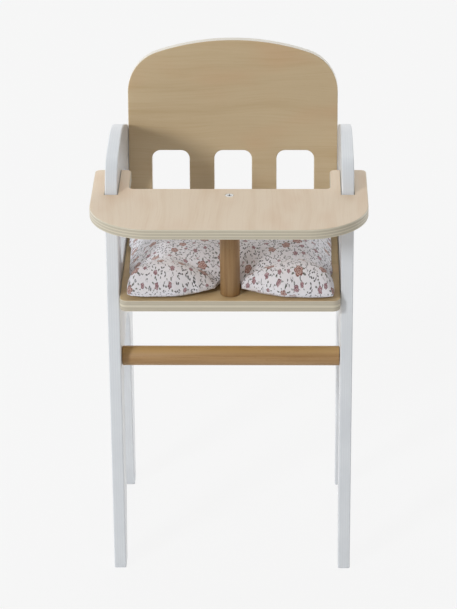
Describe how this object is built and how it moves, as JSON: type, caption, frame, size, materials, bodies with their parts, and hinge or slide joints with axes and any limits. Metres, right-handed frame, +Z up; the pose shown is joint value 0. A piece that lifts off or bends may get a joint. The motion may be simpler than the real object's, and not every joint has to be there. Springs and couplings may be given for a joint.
{
  "type": "doll high chair",
  "caption": "Doll's high chair with white side frames, plywood seat, slotted back and tray on a round post, a round footrest bar and a loose flower-print cushion.",
  "frame": {"origin": "on the floor, under the middle of the whole chair's box", "axes": "+Z up, +X to the doll's left, +Y to the back, so the tray points to -Y"},
  "size_m": [0.2734, 0.312, 0.5069],
  "materials": {
    "white_paint": "satin white lacquer",
    "plywood": "clear matt lacquer",
    "beech_rod": "clear matt lacquer",
    "cotton": "plain weave with a small flower print",
    "screw_steel": "bright zinc plate"
  },
  "bodies": {
    "chair": {"side_frame_left": "white_paint", "side_frame_right": "white_paint", "seat_board": "plywood", "back_panel": "plywood", "tray": "plywood", "tray_post": "beech_rod", "footrest_rod": "beech_rod", "footrest_screw_left": "screw_steel", "seat_screw_front_left": "screw_steel", "seat_screw_rear_left": "screw_steel", "back_screw_lower_left": "screw_steel", "back_screw_upper_left": "screw_steel", "footrest_screw_right": "screw_steel", "seat_screw_front_right": "screw_steel", "seat_screw_rear_right": "screw_steel", "back_screw_lower_right": "screw_steel", "back_screw_upper_right": "screw_steel", "tray_screw": "screw_steel", "post_screw": "screw_steel"},
    "cushion": {"seat_cushion": "cotton"}
  },
  "joints": [
    {"name": "cushion_lift", "type": "slide", "parent": "chair", "child": "cushion", "axis": [0, 0, 1], "range_m": [0, 0.05]}
  ]
}
